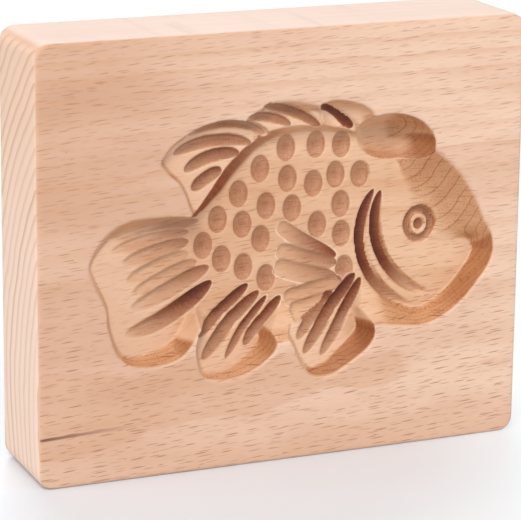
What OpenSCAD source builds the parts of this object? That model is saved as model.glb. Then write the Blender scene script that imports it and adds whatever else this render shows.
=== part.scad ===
// Wooden cookie mould: one thick beech board with a goldfish sunk into its face.
// Millimetres. The board stands on its long edge with its carved face towards -Y
// and the middle of its base at the origin.

/* [Board] */
// Length along X, with the grain
board_length = 120; // [114:1:150]
// Height along Z, across the grain
board_height = 102; // [94:1:130]
// Thickness along Y
board_thickness = 26; // [18:1:40]
// Radius of the four corners seen from the front
corner_radius = 3.5; // [1.5:0.5:6]
// Radius of the sanded long edges
edge_radius = 1; // [0.5:0.1:1.4]

/* [Depth of the carving] */
// Floor of the body and head below the front
body_depth = 6.2; // [5:0.1:7]
// Floor of the tail, at its middle
tail_depth = 3.9; // [3.4:0.1:4.2]
// Floor of the anal fin, at its middle
anal_depth = 5.1; // [4.6:0.1:5.4]
// Floor of the pelvic fin, at its middle
pelvic_depth = 4.6; // [4.2:0.1:5]
// Floor of the dorsal fin, at the middle of its rear and middle lobes
dorsal_depth = 2.7; // [2.2:0.1:3.2]
// Deepest point of the dorsal fin's front lobe
front_lobe_depth = 4.2; // [3.2:0.1:5]
// Deepest point of the crest on the head
crest_depth = 9; // [8:0.1:10]

/* [Scales] */
// Width of a scale, along X
scale_width = 4.9; // [3.5:0.1:5.2]
// Height of a scale, along Z
scale_height = 6.8; // [5:0.1:7]
// Depth of a scale below the body floor
scale_depth = 1.25; // [0.8:0.05:1.5]

/* [Grooves] */
// Width of the two gill grooves
gill_width = 2.8; // [2:0.1:3]
// Depth of the two gill grooves below the body floor
gill_depth = 1.8; // [1:0.1:2.2]
// Depth of a fin ray groove for each mm of its width
ray_depth_ratio = 0.45; // [0.3:0.01:0.5]
// Depth of a ray of the tail for each mm of its width
tail_ray_depth_ratio = 0.3; // [0.2:0.01:0.36]
// Depth of a ray of the side fin for each mm of its width
side_ray_depth_ratio = 0.28; // [0.2:0.01:0.34]

/* [Eye] */
// Height of the ring groove round the eye, to the middle of the groove
eye_height = 7.1; // [6.5:0.1:7.6]
// Width of the eye for its height
eye_narrowing = 0.87; // [0.8:0.01:1]
// Width of the ring groove
eye_groove_width = 1.9; // [1.4:0.1:2]
// Depth of the ring groove
eye_groove_depth = 1.1; // [0.7:0.05:1.3]
// Diameter of the pupil
pupil_width = 3.1; // [2.4:0.1:3.4]
// Depth of the pupil
pupil_depth = 0.9; // [0.5:0.05:1.1]

/* [Hidden] */
beech = "BurlyWood";
curve_steps = 2;    // flat steps between two points of a drawn outline
wall_steps = 3;     // flat steps down the curved wall of the body
round_steps = 64;   // smoothness of round cuts on screen
air = 1.5;          // how far a pocket starts in front of the board
air_share = 0.005;  // a little more of it for each mm a pocket lies off centre, so no two start in one plane
lift = 3;           // degrees a groove tool travels past each end of its groove
skin = 0.3;         // how far a scoop's section reaches past its own cut
run_on = 0.3;       // how far a pocket's walls are drawn on below its floor
hair = 0.02;        // how far over the body's floor a fin's floor stops

// Outlines run anticlockwise as seen from the front.
// Each point: x, z, how far the wall leans in, how hollow it is (1 cove, 0 straight, -1 S-shaped).
body_rim = [
    [-25, 52, 2.5, 0], [-25.3, 45, 2.5, 0], [-24, 38.5, 3, 0], [-20.5, 33, 4, 0],
    [-15, 30, 5, 0], [-8, 28.5, 6, 0], [-1.7, 28, 7, 0], [0.7, 28.2, 7, 0],
    [9, 29, 7, 0], [17, 29.5, 8, 0], [23.3, 29.6, 8.5, 0], [27.3, 29.2, 6.5, 0],
    [30.8, 28.9, 4.5, 0], [34.7, 28.7, 3, 0], [38.5, 29.6, 2.4, 0], [42.3, 31.5, 2.2, 0],
    [46.1, 34.4, 2.2, 0], [49.7, 38.4, 2.2, 0], [52.2, 41.7, 2.3, 0], [53.4, 44.7, 2.6, 0],
    [53.6, 47.4, 3.6, 0], [53, 50.2, 5.6, 0.1], [51.1, 54, 8.5, 0.2], [48.6, 59.5, 9.5, 0.2],
    [44, 66, 9.5, 0.2], [38.3, 71, 8, 0.1], [33, 74.5, 6, 0], [27, 77, 5, 0],
    [20, 78.6, 4, 0], [13, 80, 3.8, 0], [6, 81.2, 4, 0], [-0.5, 82, 5, 0],
    [-6.5, 81.2, 6.5, 0], [-12, 78.8, 7.5, 0], [-17.6, 73.2, 7.5, 0], [-20.6, 68.3, 6.8, 0],
    [-22.5, 64, 5.2, 0], [-23.3, 61, 4, 0], [-24.5, 57.5, 3, 0]
];
body_middle = [14, 54];

tail_rim = [
    [-19, 60, 2], [-23.5, 60.4, 2], [-27, 60.9, 2], [-32.3, 61.1, 2.3], [-37.6, 60.9, 2.6],
    [-42.8, 58.9, 2.4], [-46, 55.4, 1.5], [-48, 51.2, 0.8], [-47.1, 47.5, 0.8], [-44, 40.8, 0.8],
    [-43.5, 36.4, 0.8], [-41.2, 29.7, 1], [-37.6, 26.6, 1.4], [-32.2, 25.8, 2.4],
    [-26.5, 26.9, 2.8], [-23.2, 29.7, 2.6], [-21, 34, 2], [-18.5, 42, 1], [-17.5, 52, 1]
];
tail_middle = [-33, 45];
tail_tilt = [0.21, 0];    // how much deeper the floor gets for each mm along x and z

anal_rim = [
    [-20.5, 34, 1], [-21.9, 31, 1], [-22.2, 28.4, 1], [-21.8, 25.4, 1], [-20.9, 22.3, 1.2],
    [-18.7, 21, 1.6], [-15.8, 20.5, 2], [-12.3, 20.7, 2.2], [-9.1, 21.7, 2.4], [-6.3, 23.2, 2.5],
    [-3.9, 24.9, 2.6], [-2.3, 26.7, 2.6], [-1.7, 29, 2.4], [-2.5, 34, 2], [-6, 39, 1], [-14, 39, 1]
];
anal_middle = [-12, 30];
anal_tilt = [0.2, 0.3];

pelvic_rim = [
    [3, 34.5, 1], [1.2, 31.5, 1], [0.8, 29.5, 1], [2, 27.2, 1], [3.2, 24.1, 1],
    [5.2, 20.6, 1.4], [7.5, 18.8, 2.4], [10.1, 18.5, 3], [12.8, 19.1, 3.2], [15.5, 20.7, 3.2],
    [18.5, 22.7, 3], [21.2, 24.8, 2.8], [22.9, 27.2, 2.6], [23, 29.8, 2.4], [21.4, 34, 2],
    [18, 38, 1], [10, 38.5, 1]
];
pelvic_middle = [12, 29];
pelvic_tilt = [0.19, 0.18];

rear_lobe_rim = [
    [-5.5, 78.5, 1.5], [-9.9, 81.2, 1.6], [-12.7, 81.9, 1.6], [-15.6, 82.1, 1.6], [-18.4, 81.7, 1.5],
    [-21.9, 80.7, 1.3], [-25.1, 79.1, 1.2], [-27.9, 77.3, 1], [-29.8, 75, 0.8], [-30.7, 73, 0.8],
    [-28.6, 70.3, 0.8], [-26.3, 68, 0.8], [-24.7, 65, 1], [-23.6, 62, 1], [-21.5, 60, 1],
    [-14.5, 62.5, 1], [-8, 70, 1]
];
rear_lobe_middle = [-20, 73];
rear_lobe_tilt = [0.07, -0.02];

middle_lobe_rim = [
    [10.3, 81.6, 1], [8.7, 83.3, 1.4], [6.4, 84.3, 2.2], [3.6, 85, 2.6], [0.8, 85.5, 2.6],
    [-2.2, 85.4, 2.4], [-5, 84.7, 2], [-7.8, 83.5, 1.4], [-9.9, 82.1, 1], [-10, 80.3, 1],
    [-5, 77.6, 1], [3, 76.5, 1], [9.5, 78, 1]
];
middle_lobe_middle = [-0.5, 81.3];
middle_lobe_tilt = [0.05, -0.08];

// Front lobe of the dorsal fin: two ends of a scoop cut from the front face
front_lobe_from = [6.8, 81.6];
front_lobe_to = [22.4, 77.6];
front_lobe_width = 9.4;

// Crest on the head: an oval bowl turned a little from the grain
crest_middle = [27.2, 73.3];
crest_turn = -11;
crest_length = 21.4;
crest_width = 14.4;
crest_ball_height = 2;     // how far in front of the face the middle of its round lies

scales = [
    [2.2, 73.1], [9.7, 73.3], [16.1, 72.9], [-4.2, 68.7], [2.7, 65.8], [9.2, 64.1],
    [14.8, 65.8], [20.9, 65.4], [-9.5, 63.2], [-2.6, 59.8], [3.9, 58.7], [16.2, 58.7],
    [-14.6, 57.6], [-8.5, 55.9], [10.3, 54.2], [16.5, 51.5], [-18.2, 51.8], [-3.9, 52.1],
    [-13.6, 48.2], [-8.2, 45.8], [-2.5, 42.7], [17.4, 43]
];

eye_at = [36.4, 52.1];

// Each groove: x and z of its start, x and z of its end, bend to its left, width
gills = [
    [24.7, 61.6, 38.1, 31.9, -9.2, gill_width],
    [26.5, 61.2, 42.8, 34.5, -7.9, gill_width]
];

tail_rays = [
    [-42, 56.2, -19, 57.8, 0.3, 2.8], [-42, 53.4, -21.5, 55.4, 0.6, 3.1],
    [-39, 50.4, -21.5, 53.2, 0.1, 3.5], [-38, 46, -21.5, 50.4, 0.1, 3.8],
    [-36.5, 42.9, -19.6, 48.4, -0.2, 3.7], [-37, 39.4, -16.6, 46.9, -0.6, 4],
    [-38.5, 33.6, -16, 43.4, -2, 4.2]
];

anal_rays = [
    [-20.6, 30.9, -7, 41.8, -0.3, 3], [-20, 25.9, -4.2, 39.8, -0.1, 3.4],
    [-13.9, 25.2, -2.3, 38.5, -0.2, 2.2], [-8.6, 27.4, 1.2, 38.1, -0.3, 2.9]
];

pelvic_rays = [
    [4, 28, 14.4, 38.2, 0.1, 3], [5.5, 24.4, 20.2, 41.7, -0.2, 3.3],
    [10.1, 23.4, 21.6, 40.6, -1, 3]
];

side_rays = [
    [0.4, 55.2, 15.4, 46.2, -0.7, 3.8], [0.2, 49.4, 15.6, 44.6, -0.9, 4.2],
    [-0.4, 45.5, 15.6, 41.1, -0.6, 4.4], [2, 37.2, 17, 40.6, -0.5, 4.4],
    [3.6, 34.2, 14, 37.2, -0.6, 3.8]
];

rear_lobe_rays = [
    [-23.6, 78.6, -4, 77.2, 2.8, 2.1], [-28, 74.3, -7.4, 75.4, 2, 2.6],
    [-25.1, 70, -10.4, 73.4, 1.5, 2.8], [-23.4, 65, -14.8, 70.2, 0.4, 2.9]
];

middle_lobe_rays = [
    [-9, 81.6, 2, 79, 1, 2.3], [-5.2, 84.1, 9.6, 77.9, 1.1, 2.5]
];

// The one ray of the front lobe: x, z and height of its two ends over the front face, bend and width
front_ray_from = [8.6, 83.4, -1.6];
front_ray_to = [18.2, 77, -4.6];
front_ray_bend = 0.3;
front_ray_width = 2.9;

// Smooth closed curve through the points of an outline, worked out with Catmull-Rom cubics.
function curve_at(p, i, t) =
    let (
        n = len(p),
        a = p[(i + n - 1) % n],
        b = p[i],
        c = p[(i + 1) % n],
        d = p[(i + 2) % n]
    )
    (2 * b + (c - a) * t + (2 * a - 5 * b + 4 * c - d) * t * t + (3 * b - a - 3 * c + d) * t * t * t) / 2;

function smooth(p) = [for (i = [0:len(p) - 1], s = [0:curve_steps - 1]) curve_at(p, i, s / curve_steps)];

function unit(v) = v / norm(v);

// Unit vector into the pocket at point i of an anticlockwise outline
function inward(c, i) =
    let (
        n = len(c),
        ahead = c[(i + 1) % n],
        behind = c[(i + n - 1) % n]
    )
    unit([behind[1] - ahead[1], ahead[0] - behind[0]]);

// How deep the floor is under a point: depth at the middle, deeper by tilt away from it
function floor_at(at, middle, depth, tilt) = depth + tilt * [at[0] - middle[0], at[1] - middle[1]];

// How far down the wall is (0 to 1) when it has come in by u (0 to 1)
function wall_fall(u, hollow) =
    hollow > 0
        ? (1 - hollow) * u + hollow * sin(90 * u)
        : (1 + hollow) * u - hollow * u * u * (3 - 2 * u);

// Board with its long edges and corners eased: three rounded sections crossed.
module rounded_rectangle(w, h, r) {
    square([w - 2 * r, h], center = true);
    square([w, h - 2 * r], center = true);
    for (x = [-1, 1], y = [-1, 1])
        translate([x * (w / 2 - r), y * (h / 2 - r)])
            circle(r = r, $fn = round_steps);
}

module board() {
    spare = 2 * air;
    translate([0, 0, board_height / 2])
        intersection() {
            rotate([90, 0, 0])
                linear_extrude(height = board_thickness + spare, center = true)
                    rounded_rectangle(board_length, board_height, corner_radius);
            linear_extrude(height = board_height + spare, center = true)
                rounded_rectangle(board_length, board_thickness, edge_radius);
            rotate([90, 0, 90])
                linear_extrude(height = board_length + spare, center = true)
                    rounded_rectangle(board_thickness, board_height, edge_radius);
        }
}

// Carving is written as if the board lay face up: x along, y across, z up out of the face.
module on_the_face() {
    translate([0, -board_thickness / 2, 0])
        rotate([90, 0, 0])
            children();
}

// Pocket with leaning walls: the walls run on a little below the floor, and a slab ends them there.
module pocket(rim, middle, depth, tilt = [0, 0], steps = 1) {
    c = smooth(rim);
    n = len(c);
    top = air + air_share * norm(middle);
    deepest = [
        for (i = [0:n - 1])
            let (at = [c[i][0], c[i][1]] + inward(c, i) * c[i][2])
            [at[0], at[1], -floor_at(at, middle, depth, tilt) - run_on]
    ];
    rings = [
        for (k = [-1:steps], i = [0:n - 1])
            if (steps > 1 || k != 0)
                let (
                    u = k < 0 ? (steps > 1 ? 0 : top / deepest[i][2]) : k / steps,
                    fall = wall_fall(u, len(c[i]) > 3 ? c[i][3] : 0)
                )
                [
                    c[i][0] + u * (deepest[i][0] - c[i][0]),
                    c[i][1] + u * (deepest[i][1] - c[i][1]),
                    k < 0 ? top : fall * deepest[i][2]
                ]
    ];
    last = steps > 1 ? steps + 1 : 1;
    top_hub = len(rings);
    floor_hub = top_hub + 1;
    points = concat(
        rings,
        [[middle[0], middle[1], top], [middle[0], middle[1], -depth - run_on]]
    );
    walls = [
        for (k = [0:last - 1], i = [0:n - 1], half = [0, 1])
            let (
                j = (i + 1) % n,
                a = k * n + i,
                b = k * n + j
            )
            half == 0 ? [a, b, b + n] : [a, b + n, a + n]
    ];
    lid = [for (i = [0:n - 1]) [top_hub, (i + 1) % n, i]];
    bed = [for (i = [0:n - 1]) [floor_hub, last * n + i, last * n + (i + 1) % n]];
    intersection() {
        polyhedron(points = points, faces = concat(walls, lid, bed), convexity = 6);
        translate([middle[0], middle[1], -depth])
            rotate(a = atan(norm(tilt)), v = [-tilt[1], tilt[0], 0])
                translate([-board_length / 2, -board_length / 2, 0])
                    cube([board_length, board_length, board_thickness]);
    }
}

// Pocket of a fin: it never gets deeper than the body, where the two run into each other.
module fin(rim, middle, depth, tilt) {
    intersection() {
        pocket(rim, middle, depth, tilt);
        translate([-board_length, -board_length, hair - body_depth])
            cube([2 * board_length, 2 * board_length, board_thickness]);
    }
}

// Groove of a round-nosed tool along an arc: it dips in, follows its bend and lifts out.
// Hang is how far the floor between its two ends lies below the straight line from end to end.
module groove(from, to, bend, width, deep, up = [0, 0, 1], hang = 0) {
    chord = norm(to - from);
    along = (to - from) / chord;
    n = unit(up);
    side = cross(n, along);
    mid = (from + to) / 2;
    dip = deep + hang;
    reach = norm([bend, dip]);
    ring = (chord * chord / 4 + reach * reach) / (2 * reach);
    tool = (width * width / 4 + deep * deep) / (2 * deep);
    half_turn = asin(chord / 2 / ring) + lift;
    c = bend / reach;
    s = dip / reach;
    multmatrix([
        [along[0], side[0], n[0], mid[0]],
        [along[1], side[1], n[1], mid[1]],
        [along[2], side[2], n[2], mid[2]],
        [0, 0, 0, 1]
    ])
        multmatrix([
            [0, 1, 0, 0],
            [c, 0, -s, bend - ring * c],
            [-s, 0, -c, ring * s - dip],
            [0, 0, 0, 1]
        ])
            rotate([0, 0, -half_turn])
                rotate_extrude(angle = 2 * half_turn, $fn = round_steps)
                    translate([ring - tool * s, -tool * c])
                        circle(r = tool, $fn = round_steps / 2);
}

// Shallow oval scoop, long way from one end to the other.
module scoop(from, to, width, deep) {
    chord = norm(to - from);
    ring = (chord * chord / 4 + deep * deep) / (2 * deep);
    tool = (width * width / 4 + deep * deep) / (2 * deep);
    half_turn = asin(chord / 2 / ring) + lift;
    translate((from + to) / 2)
        rotate([0, 0, atan2(to[1] - from[1], to[0] - from[0])])
            translate([0, 0, ring - deep])
                rotate([90, 90 + half_turn, 0])
                    rotate_extrude(angle = 2 * half_turn, $fn = round_steps)
                        intersection() {
                            translate([ring - tool, 0])
                                circle(r = tool, $fn = round_steps);
                            translate([ring - deep - skin, -tool])
                                square([deep + 2 * skin, 2 * tool]);
                        }
}

// Rays start on their pocket's floor and end on it or, where it lies lower, on the body's floor.
module rays(list, middle, depth, tilt, ratio) {
    for (g = list) {
        at_start = floor_at([g[0], g[1]], middle, depth, tilt);
        at_end = floor_at([g[2], g[3]], middle, depth, tilt);
        over = max(at_end - body_depth, 0);
        rise = at_end - over - at_start;
        groove(
            [g[0], g[1], -at_start],
            [g[2], g[3], over - at_end],
            g[4],
            g[5],
            g[5] * ratio,
            [tilt[0], tilt[1], 1],
            over > 0 ? rise * over / (rise + over) : 0
        );
    }
}

module front_lobe() {
    scoop(concat(front_lobe_from, 0), concat(front_lobe_to, 0), front_lobe_width, front_lobe_depth);
}

// Bowl that is an ellipse on the face and half an egg below it
module crest() {
    ball = crest_depth + crest_ball_height;
    on_face = sqrt(ball * ball - crest_ball_height * crest_ball_height);
    translate([crest_middle[0], crest_middle[1], crest_ball_height])
        rotate([0, 0, crest_turn])
            scale([crest_length / 2 / on_face, crest_width / 2 / on_face, 1])
                sphere(r = ball, $fn = round_steps);
}

module front_lobe_ray() {
    groove(front_ray_from, front_ray_to, front_ray_bend, front_ray_width, front_ray_width * ray_depth_ratio);
}

module scale_marks(first, last) {
    for (i = [first:last])
        scoop(
            [scales[i][0], scales[i][1] - scale_height / 2, -body_depth],
            [scales[i][0], scales[i][1] + scale_height / 2, -body_depth],
            scale_width,
            scale_depth
        );
}

module gill_grooves() {
    for (g = gills)
        groove([g[0], g[1], -body_depth], [g[2], g[3], -body_depth], g[4], g[5], gill_depth);
}

module eye() {
    ring_tool = (eye_groove_width * eye_groove_width / 4 + eye_groove_depth * eye_groove_depth)
        / (2 * eye_groove_depth);
    pupil_tool = (pupil_width * pupil_width / 4 + pupil_depth * pupil_depth) / (2 * pupil_depth);
    translate([eye_at[0], eye_at[1], -body_depth])
        scale([eye_narrowing, 1, 1]) {
            translate([0, 0, ring_tool - eye_groove_depth])
                rotate_extrude($fn = round_steps)
                    translate([eye_height / 2, 0])
                        circle(r = ring_tool, $fn = round_steps / 2);
            translate([0, 0, pupil_tool - pupil_depth])
                sphere(r = pupil_tool, $fn = round_steps);
        }
}

// The cuts in a carver's order: the pockets, then the scoops, then the marks, each from the one before.
last_cut = 18;

module cut(k) {
    if (k == 0) pocket(body_rim, body_middle, body_depth, steps = wall_steps);
    if (k == 1) fin(anal_rim, anal_middle, anal_depth, anal_tilt);
    if (k == 2) fin(pelvic_rim, pelvic_middle, pelvic_depth, pelvic_tilt);
    if (k == 3) fin(tail_rim, tail_middle, tail_depth, tail_tilt);
    if (k == 4) fin(rear_lobe_rim, rear_lobe_middle, dorsal_depth, rear_lobe_tilt);
    if (k == 5) fin(middle_lobe_rim, middle_lobe_middle, dorsal_depth, middle_lobe_tilt);
    if (k == 6) front_lobe();
    if (k == 7) crest();
    if (k == 8) rays(tail_rays, tail_middle, tail_depth, tail_tilt, tail_ray_depth_ratio);
    if (k == 9) rays(anal_rays, anal_middle, anal_depth, anal_tilt, ray_depth_ratio);
    if (k == 10) rays(pelvic_rays, pelvic_middle, pelvic_depth, pelvic_tilt, ray_depth_ratio);
    if (k == 11) rays(rear_lobe_rays, rear_lobe_middle, dorsal_depth, rear_lobe_tilt, ray_depth_ratio);
    if (k == 12) rays(middle_lobe_rays, middle_lobe_middle, dorsal_depth, middle_lobe_tilt, ray_depth_ratio);
    if (k == 13) front_lobe_ray();
    if (k == 14) rays(side_rays, body_middle, body_depth, [0, 0], side_ray_depth_ratio);
    if (k == 15) scale_marks(0, len(scales) / 2 - 1);
    if (k == 16) scale_marks(len(scales) / 2, len(scales) - 1);
    if (k == 17) gill_grooves();
    if (k == last_cut) eye();
}

module carved(k) {
    difference() {
        if (k > 0) carved(k - 1);
        else board();
        on_the_face() cut(k);
    }
}

module mould_board() {
    color(beech) carved(last_cut);
}

mould_board();
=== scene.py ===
"""Looks of a wooden cookie mould: one carved beech board on a white floor, seen as in the photograph."""
import math

import bpy
import numpy as np
from mathutils import Matrix, Vector


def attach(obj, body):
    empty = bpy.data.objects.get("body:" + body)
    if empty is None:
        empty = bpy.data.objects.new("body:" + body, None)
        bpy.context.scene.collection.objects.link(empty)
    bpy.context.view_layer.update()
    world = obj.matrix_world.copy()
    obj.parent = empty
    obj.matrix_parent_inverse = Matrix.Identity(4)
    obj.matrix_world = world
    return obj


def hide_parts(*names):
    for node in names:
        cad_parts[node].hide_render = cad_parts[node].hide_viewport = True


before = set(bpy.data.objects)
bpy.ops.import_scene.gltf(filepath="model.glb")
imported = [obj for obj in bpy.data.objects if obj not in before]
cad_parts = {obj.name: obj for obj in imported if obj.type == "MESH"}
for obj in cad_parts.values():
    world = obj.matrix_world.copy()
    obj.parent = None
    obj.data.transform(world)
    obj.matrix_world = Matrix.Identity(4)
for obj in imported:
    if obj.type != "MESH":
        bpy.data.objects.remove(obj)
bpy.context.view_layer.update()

# ---------------------------------------------------------------- the mould board
# One plank of steamed beech, sawn with its growth rings nearly flat to the face and its edges sanded round.
# A goldfish is sunk into the face: drafted pockets first, then gouged fin rays, scales, gills and the eye.
# The mesh is one closed skin; the carved face is a dense grid pushed in by the depth of every cut.

MM = 0.001
LENGTH, HEIGHT, THICK = 120.0, 102.0, 26.0     # board, in mm
CORNER = 3.5                                   # corner radius seen from the front
EASE = 0.85                                    # sanded edge
FINE = 0.36                                    # grid step over the carving
COARSE = 1.3                                   # grid step over the plain margins
CARVED_X, CARVED_Z = (-50.5, 56.0), (16.5, 87.5)    # the carving's reach to the right and up
CURVE_STEPS = 8                                # chords between two points of an outline
FOOT_ROUND = 0.16                              # share of a wall's run over which its foot is rounded
FLOOR_BLEND = 0.3                              # width over which a fin's floor rounds into the body's
OUTSIDE = -9.0                                 # edge distance and depth where no mark is near
MEETS = -0.3                                   # height over its floor from which a cut rounds what it meets
BITE = 0.25                                    # depth over which a groove's mark fades in
TURN_STEPS, SIDE_STEPS = 4, 5                  # rows of faces over an eased edge and down a side

# Outlines run anticlockwise: x, z, how far the wall leans in, and for the body how hollow it is (0 straight, 1 cove).
BODY = dict(middle=(14, 54), depth=6.2, tilt=(0, 0), rim=[
    (-25, 52, 2.5, 0), (-25.3, 45, 2.5, 0), (-24, 38.5, 3, 0), (-20.5, 33, 4, 0),
    (-15, 30, 5, 0), (-8, 28.5, 6, 0), (-1.7, 28, 7, 0), (0.7, 28.2, 7, 0),
    (9, 29, 7, 0), (17, 29.5, 8, 0), (23.3, 29.6, 8.5, 0), (27.3, 29.2, 6.5, 0),
    (30.8, 28.9, 4.5, 0), (34.7, 28.7, 3, 0), (38.5, 29.6, 2.4, 0), (42.3, 31.5, 2.2, 0),
    (46.1, 34.4, 2.2, 0), (49.7, 38.4, 2.2, 0), (52.2, 41.7, 2.3, 0), (53.4, 44.7, 2.6, 0),
    (53.6, 47.4, 3.6, 0), (53, 50.2, 5.6, 0.1), (51.1, 54, 8.5, 0.2), (48.6, 59.5, 9.5, 0.2),
    (44, 66, 9.5, 0.2), (38.3, 71, 8, 0.1), (33, 74.5, 6, 0), (27, 77, 5, 0),
    (20, 78.6, 4, 0), (13, 80, 3.8, 0), (6, 80.7, 4, 0), (-0.3, 80.9, 5, 0),
    (-6.1, 80.2, 6.5, 0), (-11.5, 78, 7.5, 0), (-16.9, 72.7, 7.5, 0), (-19.9, 67.8, 6.8, 0),
    (-22, 63.6, 5.2, 0), (-23.3, 61, 4, 0), (-24.5, 57.5, 3, 0)])
TAIL = dict(middle=(-33, 45), depth=3.9, tilt=(0.21, 0), rim=[
    (-19, 60, 2), (-23.5, 60.4, 2), (-27, 60.9, 2), (-32.3, 61.1, 2.3), (-37.6, 60.9, 2.6),
    (-42.8, 58.9, 2.4), (-46, 55.4, 1.5), (-48, 51.2, 0.8), (-47.1, 47.5, 0.8), (-44, 40.8, 0.8),
    (-43.5, 36.4, 0.8), (-41.2, 29.7, 1), (-37.6, 26.6, 1.4), (-32.2, 25.8, 2.4),
    (-26.5, 26.9, 2.8), (-23.2, 29.7, 2.6), (-21, 34, 2), (-18.5, 42, 1), (-17.5, 52, 1)])
ANAL = dict(middle=(-12, 30), depth=5.1, tilt=(0.2, 0.3), rim=[
    (-20.5, 34, 1), (-21.9, 31, 1), (-22.2, 28.4, 1), (-21.8, 25.4, 1), (-20.9, 22.3, 1.2),
    (-18.7, 21, 1.6), (-15.8, 20.5, 2), (-12.3, 20.7, 2.2), (-9.1, 21.7, 2.4), (-6.3, 23.2, 2.5),
    (-3.9, 24.9, 2.6), (-2.3, 26.7, 2.6), (-1.7, 29, 2.4), (-2.5, 34, 2), (-6, 39, 1), (-14, 39, 1)])
PELVIC = dict(middle=(12, 29), depth=4.6, tilt=(0.19, 0.18), rim=[
    (3, 34.5, 1), (1.2, 31.5, 1), (0.8, 29.5, 1), (2, 27.2, 1), (3.2, 24.1, 1),
    (5.2, 20.6, 1.4), (7.5, 18.8, 2.4), (10.1, 18.5, 3), (12.8, 19.1, 3.2), (15.5, 20.7, 3.2),
    (18.5, 22.7, 3), (21.2, 24.8, 2.8), (22.9, 27.2, 2.6), (23, 29.8, 2.4), (21.4, 34, 2),
    (18, 38, 1), (10, 38.5, 1)])
REAR_LOBE = dict(middle=(-20, 73), depth=2.7, tilt=(0.07, -0.02), rim=[
    (-5.5, 78.5, 1.5), (-9.9, 81.2, 1.6), (-12.7, 81.9, 1.6), (-15.6, 82.1, 1.6), (-18.4, 81.7, 1.5),
    (-21.9, 80.7, 1.3), (-25.1, 79.1, 1.2), (-27.9, 77.3, 1), (-29.8, 75, 0.8), (-30.7, 73, 0.8),
    (-28.6, 70.3, 0.8), (-26.3, 68, 0.8), (-24.7, 65, 1), (-23.6, 62, 1), (-21.5, 60, 1),
    (-14.5, 62.5, 1), (-8, 70, 1)])
MIDDLE_LOBE = dict(middle=(-0.5, 81.3), depth=2.7, tilt=(0.05, -0.08), rim=[
    (10.3, 81.6, 1), (8.7, 83.3, 1.4), (6.4, 84.3, 2.2), (3.6, 85, 2.6), (0.8, 85.5, 2.6),
    (-2.2, 85.4, 2.4), (-5, 84.7, 2), (-7.8, 83.5, 1.4), (-9.9, 82.1, 1), (-10, 80.3, 1),
    (-5, 77.6, 1), (3, 76.5, 1), (9.5, 78, 1)])
# The front lobe is one scoop cut from the face: x, z of one end, x, z of the other, width, depth
FRONT_LOBE = (6.8, 81.6, 22.4, 77.6, 9.4, 4.2)
# The crest is an oval bowl: middle, turn in degrees, length, width, depth, height of its round's middle over the face
CREST = dict(at=(27.2, 73.3), turn=-11, length=21.4, width=14.4, depth=9, over=2.0)

# Grooves, in families that start on one floor and are cut in one way: ratio is the depth for each mm of width,
# lean how far the deepest line lies to the left, start_tone the tone at the start, start_power how suddenly a groove
# dips in there. Each groove: x, z of its start, x, z of its end, bend to the left, width, tone (1 is dark brown).
GROOVES = [
    (TAIL, dict(ratio=0.3, lean=0.3, start_tone=0.0, start_power=1.8), [
        (-42, 56.2, -19, 57.8, 0.3, 3, 0.5), (-42, 53.4, -21.5, 55.4, 0.6, 3.3, 0.5),
        (-39, 50.4, -21.5, 53.2, 0.1, 3.9, 0.68), (-38, 46, -21.5, 50.4, 0.1, 4.1, 0.32),
        (-36.5, 42.9, -19.6, 48.4, -0.2, 4.1, 0.46), (-37, 39.4, -16.6, 46.9, -0.6, 4.4, 0.85),
        (-38.5, 33.6, -16, 43.4, -2, 4.6, 1.65)]),
    (ANAL, dict(ratio=0.45, lean=0.2, start_tone=0.55), [
        (-20.6, 30.9, -7, 41.8, -0.3, 3, 1.3), (-20, 25.9, -4.2, 39.8, -0.1, 3.4, 1.05),
        (-13.9, 25.2, -2.3, 38.5, -0.2, 2.2, 1.25), (-8.6, 27.4, 1.2, 38.1, -0.3, 2.9, 1.2)]),
    (PELVIC, dict(ratio=0.45, lean=0.2, start_tone=0.4), [
        (4, 28, 14.4, 38.2, 0.1, 3, 1.2), (5.5, 24.4, 20.2, 41.7, -0.2, 3.3, 1.45),
        (10.1, 23.4, 21.6, 40.6, -1, 3, 1.3)]),
    (BODY, dict(ratio=0.28, lean=0.45, start_tone=0.0, start_power=8), [           # side fin
        (0.4, 55.2, 15.4, 46.2, -0.7, 3.9, 1.2), (0.2, 49.4, 15.6, 44.6, -0.9, 4.5, 0.85),
        (-0.4, 45.5, 15.6, 41.1, -0.6, 4.8, 0.75), (2, 37.2, 17, 40.6, -0.5, 4.6, 0.5),
        (3.6, 34.2, 14, 37.2, -0.6, 4.2, 0.4)]),
    (REAR_LOBE, dict(ratio=0.45, lean=0.42, start_tone=0.65), [
        (-23.6, 78.6, -4, 77.2, 2.8, 2.3, 0.6), (-27.2, 74.5, -7.4, 75.4, 2, 3, 0.85),
        (-24.4, 70.3, -10.4, 73.4, 1.5, 3.2, 1), (-22.4, 65.8, -14.8, 70.2, 0.4, 3.2, 1)]),
    (MIDDLE_LOBE, dict(ratio=0.45, lean=0.4, start_tone=0.7), [
        (-9, 81.6, 2, 79, 1, 2.5, 0.85), (-5.2, 84.1, 9.6, 77.9, 1.1, 2.7, 0.95)]),
    (BODY, dict(ratio=0.64, lean=-0.3, runs_out=True), [                           # gills
        (24.7, 61.6, 38.1, 31.9, -9.2, 2.8, 1.42), (26.5, 61.2, 42.8, 34.5, -7.9, 2.8, 1.42)])]
# The front lobe's one ray, cut on a slant between two depths
FRONT_RAY, FRONT_RAY_TOOL = (8.6, 83.4, 18.2, 77, 0.3, 2.9, 1.7), dict(ratio=0.45, lean=0.35, start_tone=0.7)
FRONT_RAY_DEPTHS = (1.6, 4.6)
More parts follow.
